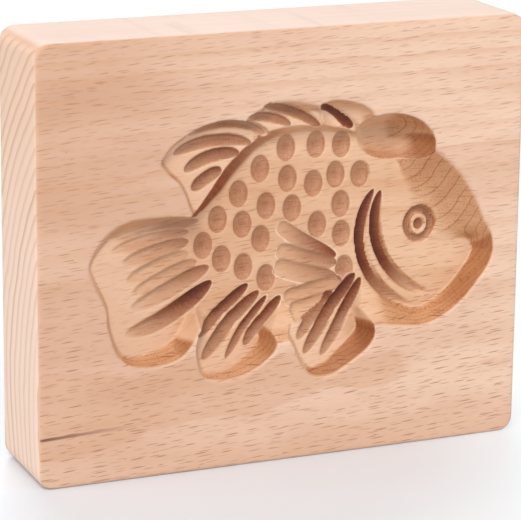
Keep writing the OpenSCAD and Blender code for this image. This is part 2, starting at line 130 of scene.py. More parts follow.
# Scales are short scoops, each at its middle's x and z; the eye is a ring groove round a small round scoop
SCALES = [(2.2, 73.1), (9.7, 73.3), (16.1, 72.9), (-4.2, 68.7), (2.7, 65.8), (9.2, 64.1), (14.8, 65.8), (20.9, 65.4),
          (-9.5, 63.2), (-2.6, 59.8), (3.9, 58.7), (16.2, 58.7), (-14.6, 57.6), (-8.5, 55.9), (10.3, 54.2),
          (16.5, 51.5), (-18.2, 51.8), (-3.9, 52.1), (-13.6, 48.2), (-8.2, 45.8), (-2.5, 42.7), (17.4, 43)]
SCALE_SIZE = (4.9, 6.8, 1.25)      # width, height, depth
EYE = dict(at=(36.4, 52.1), narrow=0.87, rings=[       # its width for each mm of height; radius, width, depth, tone
    (3.55, 1.9, 1.1, 0.7), (0.0, 3.1, 0.9, 0.9)])


def closed_curve(points):
    """Closed Catmull-Rom curve through an outline's points: between each two a cubic,
    whose slope at a point is half the step from the point before it to the point after it."""
    p = np.array(points, float)
    a, b, c, d = (np.roll(p, k, 0)[:, None] for k in (1, 0, -1, -2))
    t = (np.arange(CURVE_STEPS) / CURVE_STEPS)[None, :, None]
    q = (2 * b + (c - a) * t + (2 * a - 5 * b + 4 * c - d) * t ** 2 + (3 * b - a - 3 * c + d) * t ** 3) / 2
    return q.reshape(-1, p.shape[1])


def rim_distance(x, z, curve):
    """Signed distance to a closed curve (positive inside) and the curve's own values at the nearest place.
    The nearest place is the closest foot on any segment; a point is inside where a ray to the right
    crosses the curve an odd number of times."""
    best = np.full(x.shape, np.inf)
    value = np.zeros(x.shape + (curve.shape[1] - 2,))
    odd = np.zeros(x.shape, bool)
    for p, q in zip(curve, np.roll(curve, -1, 0)):
        ex, ez = q[0] - p[0], q[1] - p[1]
        t = np.clip(((x - p[0]) * ex + (z - p[1]) * ez) / (ex * ex + ez * ez), 0, 1)
        d = np.hypot(x - p[0] - t * ex, z - p[1] - t * ez)
        near = d < best
        best = np.where(near, d, best)
        value = np.where(near[..., None], p[2:] + t[..., None] * (q[2:] - p[2:]), value)
        if ez:
            odd ^= ((p[1] > z) != (q[1] > z)) & (x < p[0] + (z - p[1]) * ex / ez)
    return np.where(odd, best, -best), value


def soft_min(a, b, k):
    """Smaller of two values, with the corner between them rounded over a width k."""
    h = np.clip(0.5 + 0.5 * (b - a) / k, 0, 1)
    return b + (a - b) * h - k * h * (1 - h)


def soft_max(a, b, k):
    """Larger of two values, with the corner between them rounded over a width k."""
    return -soft_min(-a, -b, k)


def floor_depth(pocket, x, z):
    """Depth of a pocket's floor: its depth at the middle plus its tilt times the way from the middle.
    A fin's floor runs out into the body's floor and never gets deeper."""
    (mx, mz), (gx, gz) = pocket["middle"], pocket["tilt"]
    floor = pocket["depth"] + gx * (x - mx) + gz * (z - mz)
    return floor if pocket is BODY else soft_min(floor, np.full_like(floor, BODY["depth"]), FLOOR_BLEND)


def pocket_depth(pocket, x, z):
    """Depth of a pocket, and the distance inside its outline. The depth is how far down its wall a place is, as a
    share, times the floor's depth. The wall is straight with a rounded foot, mixed with a quarter of a sine wave
    by how hollow it is, or with a smooth step where that swings under 0 between two points of the outline."""
    d, v = rim_distance(x, z, closed_curve(pocket["rim"]))
    u = np.clip(d / v[..., 0], 0, 1.5)
    s = np.clip(u, 0, 1)
    hollow = v[..., 1] if v.shape[-1] > 1 else np.zeros_like(u)
    straight = soft_min(u, np.ones_like(u), FOOT_ROUND + 2.0 * np.maximum(hollow, 0))
    cove = np.sin(s * math.pi / 2)
    ess = s * s * (3 - 2 * s)
    fall = np.where(hollow > 0, straight + hollow * (cove - straight), straight - hollow * (ess - straight))
    return np.where(d > 0, fall, 0) * floor_depth(pocket, x, z), d


def arc_radius(chord, sag):
    """Radius of the circle through two points a chord apart that bows out by sag between them."""
    return (chord * chord / 4 + sag * sag) / (2 * sag)


NEARLY_STRAIGHT = 0.05          # a groove that bends less than this is cut straight
THINNEST = 1e-4                 # square of the least half width, which keeps the sums whole at a groove's ends
BEYOND = 1.3                    # how far past its ends a groove's circle is still worked out, in half lengths
RUNS_OUT_AT = 0.93              # share of its second half that is left of a groove that runs out
TONE_GONE, FADE = 0.86, 0.4     # share of its way where such a groove's tone is gone, and over which it fades
STEEP_SIDE = 0.35               # middle and half width of the groove's band of painted shade, as shares of the half width
DARKEST = 1.3                   # a tone's upper limit


def groove_cut(x, z, groove, ratio, lean, start_tone=1.0, start_power=2, runs_out=False):
    """Depth of a gouged groove below its floor, the distance inside its edge, how dark it is, and the way along it.
    It follows an arc. Along it, the depth falls from full at the middle to nothing at the ends, by the way's square
    or, at the start, another power. Across it, it is the tool's circle, pressed to one side so that one flank
    is steep. The tone goes evenly from the start's share to its full value, and painted shade makes it darkest
    on the steep flank.
    A groove that runs out ends early, its depth is also multiplied by the root of one less the way's square,
    and its tone fades."""
    x0, z0, x1, z1, bend, width, tone = groove
    deep = width * ratio
    chord = math.hypot(x1 - x0, z1 - z0)
    ux, uz = (x1 - x0) / chord, (z1 - z0) / chord
    s = (x - (x0 + x1) / 2) * ux + (z - (z0 + z1) / 2) * uz
    t = -(x - (x0 + x1) / 2) * uz + (z - (z0 + z1) / 2) * ux
    if abs(bend) > NEARLY_STRAIGHT:
        r = arc_radius(chord, abs(bend))
        side = math.copysign(1, bend)
        along = np.arctan2(s, r - abs(bend) + side * t) * r
        across = side * (np.hypot(s, r - abs(bend) + side * t) - r)
        half = math.asin(min(1, chord / 2 / r)) * r
    else:
        along, across, half = s, t - bend, chord / 2
    way = along / half
    share = np.clip(along / half / 2 + 0.5, 0, 1)
    if runs_out:
        way = np.where(way > 0, way / RUNS_OUT_AT, way)
    run = deep * (1 - np.where(way < 0, np.abs(way) ** start_power, way * way))
    fade = start_tone + (1 - start_tone) * share
    if runs_out:
        run = np.where((way > 0) & (way < 1), run * np.sqrt(np.clip(1 - way * way, 0, 1)), run)
        fade = np.clip((TONE_GONE - share) / FADE, 0, 1)
    tool = arc_radius(width, deep)
    wide = np.sqrt(np.clip(2 * tool * run - run * run, THINNEST, None))
    a = across / wide
    pressed = np.where(np.abs(a) < 1, wide * (a - lean * (1 - a * a)), across)
    cross = tool - np.sqrt(np.clip(tool * tool - pressed * pressed, 0, None))
    near = (np.abs(across) < tool) & (np.abs(along) < half * BEYOND)
    edge = np.minimum(wide - np.abs(across), half - np.abs(along))
    # painted shade: the groove's tone is darkest on its steep flank
    off_band = np.clip(np.abs(a * math.copysign(1, lean) - STEEP_SIDE) - STEEP_SIDE, 0, None)
    flank_shade = np.clip(1 - (0.1 + 0.8 * abs(lean)) * off_band, 0, 1)
    dark = np.minimum(tone * fade, DARKEST) * flank_shade
    return np.where(near, run - cross, OUTSIDE), np.where(near, edge, OUTSIDE), dark, along


def scoop_depth(x, z, x0, z0, x1, z1, width, deep):
    """Depth of an oval scoop: its deepest point less the rise of a long circle one way
    and of a short circle, the tool's own, the other."""
    chord = math.hypot(x1 - x0, z1 - z0)
    ux, uz = (x1 - x0) / chord, (z1 - z0) / chord
    s = (x - (x0 + x1) / 2) * ux + (z - (z0 + z1) / 2) * uz
    t = -(x - (x0 + x1) / 2) * uz + (z - (z0 + z1) / 2) * ux
    ring, tool = arc_radius(chord, deep), arc_radius(width, deep)
    across = tool - np.sqrt(np.clip(tool * tool - t * t, 0, None))
    reach = ring - across                    # the long circle shrinks as the tool's own circle rises
    g = np.sqrt(np.clip(reach * reach - s * s, 0, None)) - (ring - deep)
    return np.where((np.abs(t) < tool) & (np.abs(s) < ring), g, OUTSIDE)


def bowl_depth(x, z, bowl):
    """Depth of an oval bowl, half an egg whose middle lies over the face, and the distance inside its rim,
    which is the ellipse's half width times one less the way out from its middle as a share of the way to the rim."""
    turn = math.radians(bowl["turn"])
    dx, dz = x - bowl["at"][0], z - bowl["at"][1]
    s, t = dx * math.cos(turn) + dz * math.sin(turn), dz * math.cos(turn) - dx * math.sin(turn)
    ball = bowl["depth"] + bowl["over"]
    on_face = math.sqrt(ball * ball - bowl["over"] ** 2)
    out = np.hypot(s / (bowl["length"] / 2), t / (bowl["width"] / 2))
    depth = np.sqrt(np.clip(ball * ball - (out * on_face) ** 2, 0, None)) - bowl["over"]
    return np.where(out < 1, depth, 0), (1 - out) * bowl["width"] / 2


def carved(x, z):
    """Depth of the whole carving, the deepest of all cuts at each place, and what the paint needs:
    the distance inside the fish's outline, inside a scale, inside a groove or the eye's ring, that groove's tone
    with the painted shade on its steep flank, and the way along it, and how far the body's own wall is the surface."""
    depth, groove_tone_and_shade, groove_way = (np.zeros(x.shape) for _ in range(3))
    inside, scale_edge, groove_edge = (np.full(x.shape, OUTSIDE) for _ in range(3))
    for pocket in (BODY, TAIL, ANAL, PELVIC, REAR_LOBE, MIDDLE_LOBE):
        d, rim = pocket_depth(pocket, x, z)
        if pocket is BODY:
            body, body_share = d, d / pocket["depth"]
        depth = np.maximum(depth, d)
        inside = np.maximum(inside, rim)
    lobe = scoop_depth(x, z, *FRONT_LOBE)
    bowl, bowl_edge = bowl_depth(x, z, CREST)
    depth = np.maximum(np.maximum(depth, lobe), bowl)
    inside = np.maximum(np.maximum(inside, lobe), bowl_edge)

    def gouge(floor, cut, edge, tone, way, soft=0.12):
        """Takes one groove away and notes its marks, as far as it bites deeper than what is there."""
        nonlocal depth, groove_edge, groove_tone_and_shade, groove_way
        bites = np.clip((floor + cut - depth) / BITE + 0.6, 0, 1)
        depth = np.where(cut > MEETS, soft_max(depth, floor + cut, soft), depth)
        edge = np.where(edge > 0, edge * bites, edge)
        groove_tone_and_shade = np.where(edge > groove_edge, tone, groove_tone_and_shade)
        groove_way = np.where(edge > groove_edge, way, groove_way)
        groove_edge = np.maximum(groove_edge, edge)

    for pocket, tool, grooves in GROOVES:
        floor = floor_depth(pocket, x, z)
        for groove in grooves:
            gouge(floor, *groove_cut(x, z, groove, **tool))
    x0, z0, x1, z1 = FRONT_RAY[:4]
    share = np.clip(((x - x0) * (x1 - x0) + (z - z0) * (z1 - z0)) / ((x1 - x0) ** 2 + (z1 - z0) ** 2), 0, 1)
    start, end = FRONT_RAY_DEPTHS
    gouge(start + (end - start) * share, *groove_cut(x, z, FRONT_RAY, **FRONT_RAY_TOOL))
    w, h, deep = SCALE_SIZE
    for sx, sz in SCALES:
        cut = scoop_depth(x, z, sx, sz - h / 2, sx, sz + h / 2, w, deep)
        depth = np.where(cut > MEETS, soft_max(depth, BODY["depth"] + cut, 0.1), depth)
        oval = np.hypot((x - sx) / (w / 2), (z - sz) / (h / 2))
        scale_edge = np.maximum(scale_edge, (1 - oval) * w / 2)
    r = np.hypot((x - EYE["at"][0]) / EYE["narrow"], z - EYE["at"][1])
    for radius, width, deep, tone in EYE["rings"]:
        away, tool = r - radius, arc_radius(width, deep)
        cut = np.sqrt(np.clip(tool * tool - away * away, 0, None)) - (tool - deep)
        near = np.abs(away) < tool
        edge = np.where(near, width / 2 - np.abs(away), OUTSIDE)
        gouge(BODY["depth"], np.where(near, cut, OUTSIDE), edge, tone, 2 * x, 0.1)
    # the body's own wall shows where nothing is cut deeper, from a tenth of the way down to just above its foot
    wall = np.clip((body - depth) / 0.15 + 1, 0, 1)
    wall = wall * np.clip(16 * (1 - body_share), 0, 1) * np.clip(body_share / 0.2 - 0.5, 0, 1)
    return dict(sunk=depth, rim=inside, scale_edge=scale_edge, groove_edge=groove_edge,
                groove_tone_and_shade=groove_tone_and_shade, groove_way=groove_way, body_wall=wall)


def steps_between(lo, hi, fine_lo, fine_hi):
    """Grid lines from lo to hi: fine between fine_lo and fine_hi, coarse outside."""
    a = np.linspace(lo, fine_lo, round((fine_lo - lo) / COARSE) + 1)[:-1]
    b = np.linspace(fine_lo, fine_hi, round((fine_hi - fine_lo) / FINE) + 1)
    c = np.linspace(fine_hi, hi, round((hi - fine_hi) / COARSE) + 1)[1:]
    return np.concatenate([a, b, c])


def rounded_corners(x, z):
    """The square grid pressed into the board's round corners:
    there each coordinate is shortened by half the square of the other."""
    half, top, r = LENGTH / 2 - EASE, HEIGHT - EASE, CORNER - EASE
    for sx in (-1, 1):
        for cz, sz in ((EASE + r, -1), (top - r, 1)):
            u = np.clip((sx * x - (half - r)) / r, 0, None)
            v = np.clip(sz * (z - cz) / r, 0, None)
            both = (u > 0) & (v > 0)
            x = np.where(both, sx * (half - r + r * u * np.sqrt(1 - v * v / 2)), x)
            z = np.where(both, cz + sz * r * v * np.sqrt(1 - u * u / 2), z)
    return x, z


SNAP = 0.55         # a point moves onto the rim from this many grid steps away
GENTLEST = 0.3      # least square of the distance's slope that a point's move is worked out with
PINCHED = 0.5       # a square is pinched when its diagonals' cross product is less than this many squares


def drawn_to_rim(x, z):
    """The grid with its points near the fish's outline moved onto it, which keeps the rim crisp. Each moves by its
    distance over the distance's own slope, and back again where a square's area gets under a quarter of its own."""
    plain_x, plain_z = x, z
    inner = (x > CARVED_X[0] + 1) & (x < CARVED_X[1] - 1) & (z > CARVED_Z[0] + 1) & (z < CARVED_Z[1] - 1)
    found = carved(x, z)
    for _ in range(2):
        inside = found["rim"]
        dz, dx = np.gradient(inside)
        dx, dz = dx / FINE, dz / FINE
        steep = np.maximum(dx * dx + dz * dz, GENTLEST)
        near = inner & (np.abs(inside) < FINE * SNAP * np.sqrt(steep))
        x = np.where(near, x - inside * dx / steep, x)
        z = np.where(near, z - inside * dz / steep, z)
        for _ in range(3):
            ex, ez = x[1:, 1:] - x[:-1, :-1], z[1:, 1:] - z[:-1, :-1]
            fx, fz = x[1:, :-1] - x[:-1, 1:], z[1:, :-1] - z[:-1, 1:]
            pinched = ex * fz - ez * fx < FINE * FINE * PINCHED
            back = np.zeros(x.shape, bool)
            for rows in (slice(0, -1), slice(1, None)):
                for cols in (slice(0, -1), slice(1, None)):
                    back[rows, cols] |= pinched & inner[:-1, :-1]
            x, z = np.where(back, plain_x, x), np.where(back, plain_z, z)
        found = carved(x, z)
    return x, z, found


def board_mesh():
    """Closed skin of the board: the carved front grid, then rings of points round it, each the front's edge pushed
    out and back along a quarter circle, a straight side and a quarter circle again, and one flat face at the back."""
    half, top = LENGTH / 2 - EASE, HEIGHT - EASE
    flat_grid = np.meshgrid(steps_between(-half, half, *CARVED_X), steps_between(EASE, top, *CARVED_Z))
    x, z, found = drawn_to_rim(*rounded_corners(*flat_grid))
    front = np.stack([x, -THICK / 2 + found["sunk"], z], -1).reshape(-1, 3)
    grid = np.arange(x.size).reshape(x.shape)
    quads = [np.stack([grid[:-1, :-1], grid[:-1, 1:], grid[1:, 1:], grid[1:, :-1]], -1).reshape(-1, 4)]
    loop = np.concatenate([grid[0, :-1], grid[:-1, -1], grid[-1, :0:-1], grid[:0:-1, 0]])
    edge = front[loop]
    along = np.roll(edge, -1, 0) - np.roll(edge, 1, 0)
    out = np.stack([along[:, 2], np.zeros(len(loop)), -along[:, 0]], 1)
    out /= np.linalg.norm(out, axis=1)[:, None]
    turn = np.linspace(0, math.pi / 2, TURN_STEPS + 1)[1:]
    rings = [(EASE * math.sin(t), EASE * (1 - math.cos(t))) for t in turn]
    rings += [(EASE, y) for y in np.linspace(EASE, THICK - EASE, SIDE_STEPS + 1)[1:-1]]
    rings += [(EASE * math.sin(t), THICK - EASE * (1 - math.cos(t))) for t in turn[::-1]]
    rings += [(0.0, THICK)]
    points, last = [front], loop
    count = len(front)
    for push, y in rings:
        ring = edge + out * push
        ring[:, 1] = -THICK / 2 + y
        new = count + np.arange(len(loop))
        count += len(loop)
        points.append(ring)
        quads.append(np.stack([last, new, np.roll(new, -1), np.roll(last, -1)], -1))
        last = new
    return np.concatenate(points), np.concatenate(quads), last, found


points, quads, back, found = board_mesh()
board_data = bpy.data.meshes.new("mould_board")
board_data.from_pydata((points * MM).tolist(), [], quads.tolist() + [back[::-1].tolist()])
board_data.update()
board = bpy.data.objects.new("carved_board", board_data)
bpy.context.scene.collection.objects.link(board)
board_data.shade_smooth()

# What the paint reads at each vertex: which way it faces, how deep it lies, and the distances inside the marks.
normals = np.zeros(len(points) * 3, np.float32)
board_data.vertex_normals.foreach_get("vector", normals)
normals = normals.reshape(-1, 3)
told = dict(faces_right=normals[:, 0], steep=1 - np.abs(normals[:, 1]), faces_up=normals[:, 2])
for name, values in found.items():
    told[name] = np.full(len(points), OUTSIDE if name in ("rim", "scale_edge", "groove_edge") else 0.0)
    told[name][:values.size] = values.ravel()
for name, values in told.items():
    board_data.attributes.new(name, "FLOAT", "POINT").data.foreach_set("value", values.astype(np.float32))


class Wire:
    """One output socket; Python's own operators on it add Math nodes that do the same sum."""

    def __init__(self, paint, socket):
        self.paint, self.socket = paint, socket

    def math(self, operation, *others, clamp=False):
        """Math node of an operation on this socket and the others."""
        return self.paint.node("ShaderNodeMath", dict(operation=operation, use_clamp=clamp), [self, *others])

    def turned(self, operation, first):
        """Math node of an operation on a number and then this socket."""
        return self.paint.node("ShaderNodeMath", dict(operation=operation), [first, self])

    def __add__(self, o): return self.math("ADD", o)
    def __sub__(self, o): return self.math("SUBTRACT", o)
    def __mul__(self, o): return self.math("MULTIPLY", o)
    def __truediv__(self, o): return self.math("DIVIDE", o)
    def __pow__(self, o): return self.math("POWER", o)
    def __radd__(self, o): return self.turned("ADD", o)
    def __rsub__(self, o): return self.turned("SUBTRACT", o)
    def __rmul__(self, o): return self.turned("MULTIPLY", o)
    def __rtruediv__(self, o): return self.turned("DIVIDE", o)
    def most(self, o): return self.math("MAXIMUM", o)
    def held(self): return self.math("ADD", 0.0, clamp=True)
    def root(self): return self.math("SQRT")
    def size(self): return self.math("ABSOLUTE")

    def ramp(self, start, end, low=0.0, high=1.0):
        """Smooth step from low at start to high at end."""
        return self.paint.node(
            "ShaderNodeMapRange", dict(interpolation_type="SMOOTHSTEP"), [self, start, end, low, high])

    def beside(self, name):
        """Another output of the same node."""
        return Wire(self.paint, self.socket.node.outputs[name])


class Paint:
    """Node tree of a material or of the world, with short calls for its nodes."""

    def __init__(self, owner, output="ShaderNodeOutputMaterial"):
        owner.use_nodes = True
        self.owner, self.tree = owner, owner.node_tree
        self.tree.nodes.clear()
        self.output = self.tree.nodes.new(output)

    def node(self, kind, settings=None, values=(), out=0):
        """New node: its settings, then its inputs by number or name, each a value or a Wire."""
        n = self.tree.nodes.new(kind)
        for key, value in (settings or {}).items():
            setattr(n, key, value)
        for key, value in values.items() if isinstance(values, dict) else enumerate(values):
            if isinstance(value, Wire):
                self.tree.links.new(value.socket, n.inputs[key])
            else:
                n.inputs[key].default_value = value
        return Wire(self, n.outputs[out])

    def done(self, shader):
        """Links the last shader to the output, and gives the material or the world back."""
        self.tree.links.new(shader.socket, self.output.inputs[0])
        return self.owner

    def part(self, vector, i):
        """One of a vector's three numbers."""
        return self.node("ShaderNodeSeparateXYZ", None, [vector], out=i)

    def point(self, x, y, z):
        """Vector of three numbers."""
        return self.node("ShaderNodeCombineXYZ", None, [x, y, z])

    def noise(self, at, detail=2.0, rough=0.5):
        """Cloudy noise about 0.5, whose lumps are about 1 across where it is read."""
        return self.node("ShaderNodeTexNoise", None, dict(Vector=at, Scale=1.0, Detail=detail, Roughness=rough))

    def blend(self, a, b, share, way):
        """Two colours through a Mix node, whose sockets 0, 6 and 7 are the share and the colours."""
        settings = dict(data_type="RGBA", blend_type=way)
        return self.node("ShaderNodeMix", settings, {0: share, 6: a, 7: b}, out=2)

    def mix(self, a, b, share):
        """Colour a turning into colour b by a share."""
        return self.blend(a, b, share, "MIX")

    def tint(self, a, b, share):
        """Colour a multiplied by colour b by a share."""
        return self.blend(a, b, share, "MULTIPLY")

    def own(self, name):
        """Number that the mesh holds at each vertex."""
        return self.node("ShaderNodeAttribute", dict(attribute_name=name), out="Fac")


def rgb(r, g, b):
    """Screen colour 0 to 255 as a scene colour: the screen curve undone, a straight line at its dark foot."""
    return tuple((c / 255 / 12.92) if c <= 10 else ((c / 255 + 0.055) / 1.055) ** 2.4 for c in (r, g, b)) + (1.0,)


PITH_Y, PITH_Z = -75.0, 18.0        # axis of the tree's rings, in front of the board, in mm
RING_STEP = 3.3                     # ring spacing, in mm
FLECKS = ((7.6, 1.9, 3.7, 1.0), (5.4, 1.25, 11.3, 0.45), (6.2, 1.5, 27.1, 0.7))    # cell length, height, seed, weight
FLECK_SLANT, FLECK_HALF = 0.07, 0.16           # rise of the flecks' lines to the right, half a fleck's height
REAR_CORNER, FRONT_CORNER = (-6.3, 77.0), (17.9, 78.2)      # x and z where the back fin's lobes meet
STREAK_LEFT, STREAK_LENGTH = -60.0, 28.0       # the mineral streak's left end and length
STREAK_HEIGHT, STREAK_RISE = 14.6, 0.045       # its height at x = 0, and its rise to the right

# Colours of the beech as the screen shows them, some of them painted light and shade, as noted at each. A WOOD colour
# takes the place of what is there, a TINT darkens it.
# The left and right wood colours paint a light falloff across the face: darker to the left, lighter to the right.
LEFT_SHADED_WOOD, RIGHT_LIT_WOOD = rgb(216, 177, 151), rgb(228, 193, 168)
# Of the next line, the second tint is painted shade over the face's upper left.
DRIFT_TINT, TOP_LEFT_SHADE_TINT = rgb(244, 236, 230), rgb(246, 240, 234)
RING_WOOD, FIBRE_WOOD, FLECK_WOOD = rgb(202, 150, 113), rgb(186, 134, 100), rgb(152, 93, 58)
END_WOOD, END_RING_WOOD, END_TOP_TINT = rgb(228, 202, 184), rgb(186, 138, 108), rgb(248, 240, 230)
# Of the next line, the edge wood is partly the long edges' own paler wood and partly a painted sheen, the shallow
# wood is painted light on the fins' floors, and the rim wood is a painted highlight.
EDGE_SHEEN_WOOD, SHALLOW_LIT_WOOD, RIM_HIGHLIGHT_WOOD = rgb(226, 208, 198), rgb(244, 206, 178), rgb(246, 214, 188)
# Of the next line, the second tint is painted shade in the deepest hollows.
CUT_TINT, DEEP_SHADE_TINT = rgb(252, 243, 228), rgb(246, 240, 234)
WALL_TINT, LEFT_WALL_TINT, HIGH_WALL_TINT = rgb(238, 222, 202), rgb(216, 194, 172), rgb(236, 230, 228)
# Of the next line, the last tint is painted shade on walls that face down.
PELVIC_WALL_TINT, SLOPE_TINT, DOWN_WALL_SHADE_TINT = rgb(216, 194, 176), rgb(230, 214, 196), rgb(246, 234, 220)
LINE_TINT, SPECK_TINT = rgb(190, 142, 110), rgb(206, 176, 150)
# The next tints, for the body's wall under the back fin, are end-grain brown darkened by painted shade.
BACK_WALL_SHADE_TINTS = rgb(192, 138, 100), rgb(160, 104, 66)
SCALE_TINTS, SCALE_MIDDLE_TINT = (rgb(224, 206, 194), rgb(206, 184, 172)), rgb(226, 208, 198)
GROOVE_TINTS, DEEP_GROOVE_TINT = (rgb(176, 130, 92), rgb(146, 98, 62)), rgb(184, 140, 108)
STREAK_WOOD = rgb(92, 52, 34)


def flecks_of(paint, x, y, z):
    """Ray flecks: three sizes of cells, longer along the grain and carried through the thickness, with one dash in
    each. A dash is an ellipse round the cell's own point, and the cell's own number gives its length and weight."""
    slant = z - x * FLECK_SLANT
    flecks = None
    for long, high, seed, weight in FLECKS:
        at = paint.point(x / long + seed, y * 0.03, slant / high + seed)
        cell = paint.node("ShaderNodeTexVoronoi", None, dict(Vector=at, Scale=1.0, Randomness=1.0), out="Position")
        away = paint.node("ShaderNodeVectorMath", dict(operation="SUBTRACT"), [at, cell])
        pick = paint.node("ShaderNodeSeparateColor", None, [cell.beside("Color")])
        ex, ez = paint.part(away, 0) * long, paint.part(away, 2) * high
        reach = pick * 2.0 + 0.6
        lens = ((ex / reach) ** 2.0 + (ez / FLECK_HALF) ** 2.0).root()
        one = lens.ramp(1.0, 0.35) * pick.ramp(0.05, 0.75) * weight
        flecks = one if flecks is None else flecks.most(one)
    return flecks


def way_from(x, z, at):
    """Distance of each place from a point: the root of the sum of the two squares."""
    return ((x - at[0]) ** 2.0 + (z - at[1]) ** 2.0).root()


def beech():
    """Solid beech: rings round an axis along X, ray flecks that run in from the face, and darker cuts across
    the grain, with painted light, shade, sheen and highlights laid into the colour. Lengths are in mm, and a ramp
    goes smoothly from 0 at its first number to 1 at its second."""
    paint = Paint(bpy.data.materials.new("beech"))
    coords = paint.node("ShaderNodeTexCoord", out="Object")
    x, y, z = (paint.part(coords, i) * 1000.0 for i in range(3))
    right, steep, up = paint.own("faces_right"), paint.own("steep"), paint.own("faces_up")
    left, down, end = right * -1.0, up * -1.0, right.size()
    sunk = paint.own("sunk")

    # growth rings: distance from the pith, bent a little along the plank, each ring darker towards its late wood
    bend = paint.noise(paint.point(x * 0.012, y * 0.02, z * 0.02), 3.0)
    wander = paint.noise(paint.point(x * 0.04, y * 0.06, z * 0.08), 3.0)
    dy, dz = y - PITH_Y, z - PITH_Z
    turn = ((dy * dy + dz * dz).root() + bend * 6.0 + wander * 1.6) / RING_STEP
    phase = turn.math("FRACT")
    late = phase.ramp(0.45, 0.93) * phase.ramp(1.0, 0.95)
    each = paint.node("ShaderNodeTexWhiteNoise", dict(noise_dimensions="1D"), dict(W=turn.math("FLOOR")))
    ring = late * (each * 0.7 + 0.3)

    # slow drift of tone, a painted light falloff across the face with painted shade at its top left, fine fibres
    # stretched along the grain, and flecks
    drift = paint.noise(paint.point(x * 0.02, y * 0.05, z * 0.09), 3.0)
    fibre = paint.noise(paint.point(x * 0.22, y * 3.0, z * 3.2), 4.0, 0.65)
    flecks = flecks_of(paint, x, y, z)
    flat = end.ramp(0.75, 0.35)
    # painted light falloff: the face darker to the left and lighter to the right
    wood = paint.mix(LEFT_SHADED_WOOD, RIGHT_LIT_WOOD, x.ramp(-60.0, 55.0))
    wood = paint.tint(wood, DRIFT_TINT, drift.ramp(0.35, 0.65))
    # painted shade over the face's upper left
    wood = paint.tint(wood, TOP_LEFT_SHADE_TINT, x.ramp(-10.0, -60.0) * z.ramp(30.0, 95.0))
    wood = paint.mix(wood, RING_WOOD, ring * 0.45)
    wood = paint.mix(wood, FIBRE_WOOD, fibre.ramp(0.5, 0.78) * 0.32)
    wood = paint.mix(wood, FLECK_WOOD, flecks * flat * z.ramp(75.0, 20.0, 0.5, 0.74))

    # the board's own ends are pale with brown ring lines; its long edges are paler than the face, partly their own
    # wood and partly a painted sheen
    cut = sunk.ramp(0.15, 0.9)
    plain = 1.0 - cut
    own_end = end.ramp(0.6, 0.95) * plain
    wood = paint.mix(wood, END_WOOD, own_end * 0.85)
    wood = paint.tint(wood, END_TOP_TINT, own_end * z.ramp(30.0, 100.0))
    wood = paint.mix(wood, END_RING_WOOD, own_end * ring * 0.75)
    # the long edges' paler colour: partly their own wood, partly a painted sheen
    wood = paint.mix(wood, EDGE_SHEEN_WOOD, up.size().ramp(0.6, 0.95) * plain * 0.6)

    # marks: how far inside a scale or a groove
    # a groove's tone holds its own brown and the painted shade on its steep flank
    scale, groove, tone = paint.own("scale_edge"), paint.own("groove_edge"), paint.own("groove_tone_and_shade")
    in_scale = scale.ramp(0.0, 0.25)
    in_groove = groove.ramp(-0.1, 0.36) * tone

    # No wall is painted between the fins and the body, where their floors run into one another,
    # in the two small corners where the back fin's lobes meet, or under a scale or a groove.
    outer = z.ramp(31.6, 30.2).most(x.ramp(24.0, 27.0)).most(z.ramp(50.0, 55.0))
    rear_corner = way_from(x, z, REAR_CORNER).ramp(0.8, 2.2)
    front_corner = way_from(x, z, FRONT_CORNER).ramp(1.0, 2.6)
    dark_groove = groove.ramp(0.0, 0.22) * tone.ramp(0.0, 0.4).most(x.ramp(30.0, 20.0))
    clear = 1.0 - (in_scale * 0.7).most(dark_groove)
    shown = cut * clear * outer * (rear_corner * front_corner)

    # walls across the grain turn tan to brown, with ring lines round them and ray lines down them;
    # walls that face down get painted shade, and the shallow floors get painted light
    wall = steep.ramp(0.1, 0.32) * (up + left * 0.7).ramp(0.05, 0.3) * shown
    slope = left.ramp(0.06, 0.3) * up.ramp(0.2, -0.1) * x.ramp(18.0, 24.0) * shown
    pelvic_wall = wall * z.ramp(31.0, 28.5) * x.ramp(2.0, 10.0) * x.ramp(27.0, 23.0)
    fine_ring = (turn * 2.6 + bend).math("FRACT")
    contour = fine_ring.ramp(0.8, 0.9) * fine_ring.ramp(1.0, 0.93)
    lines = paint.noise(paint.point(x * 2.6, y * 0.1, z * 2.6))
    # painted light: the shallow fin floors are lightened
    lit_floor = sunk.ramp(5.9, 5.0) * steep.ramp(0.1, 0.02) * cut
    wood = paint.tint(wood, CUT_TINT, cut)
    wood = paint.mix(wood, SHALLOW_LIT_WOOD, lit_floor * 0.36)
    wood = paint.tint(wood, WALL_TINT, wall)
    wood = paint.tint(wood, LEFT_WALL_TINT, wall * left.ramp(0.3, 0.7))
    wood = paint.tint(wood, HIGH_WALL_TINT, wall * z.ramp(60.0, 66.0))
    wood = paint.tint(wood, PELVIC_WALL_TINT, pelvic_wall)
    wood = paint.tint(wood, SLOPE_TINT, slope * (1.0 - wall * 0.5))
    wood = paint.tint(wood, LINE_TINT, contour * wall.most(slope) * 0.5)
    wood = paint.tint(wood, LINE_TINT, lines.ramp(0.56, 0.68) * wall.most(slope) * 0.5)
    # painted shade on walls that face down
    wood = paint.tint(wood, DOWN_WALL_SHADE_TINT, down.ramp(0.3, 0.65) * shown)

    # the body's wall under the back fin faces away from the lamp: a dark band of end-grain brown with painted shade
    # over it, with fibres down it
    down_wall = paint.noise(paint.point((x * 0.62 + z * 0.78) * 2.8, y * 0.3, 0.0), 3.0, 0.65)
    shaded_band = paint.own("body_wall") * right.ramp(0.0, 0.25) * x.ramp(8.0, -16.0) * z.ramp(56.0, 59.0)
    wood = paint.tint(wood, paint.mix(*BACK_WALL_SHADE_TINTS, down_wall.ramp(0.3, 0.7)), shaded_band)
    # painted shade in the deepest hollows, less under the scales
    wood = paint.tint(wood, DEEP_SHADE_TINT, sunk.ramp(6.5, 7.8) * (1.0 - in_scale * 0.6))
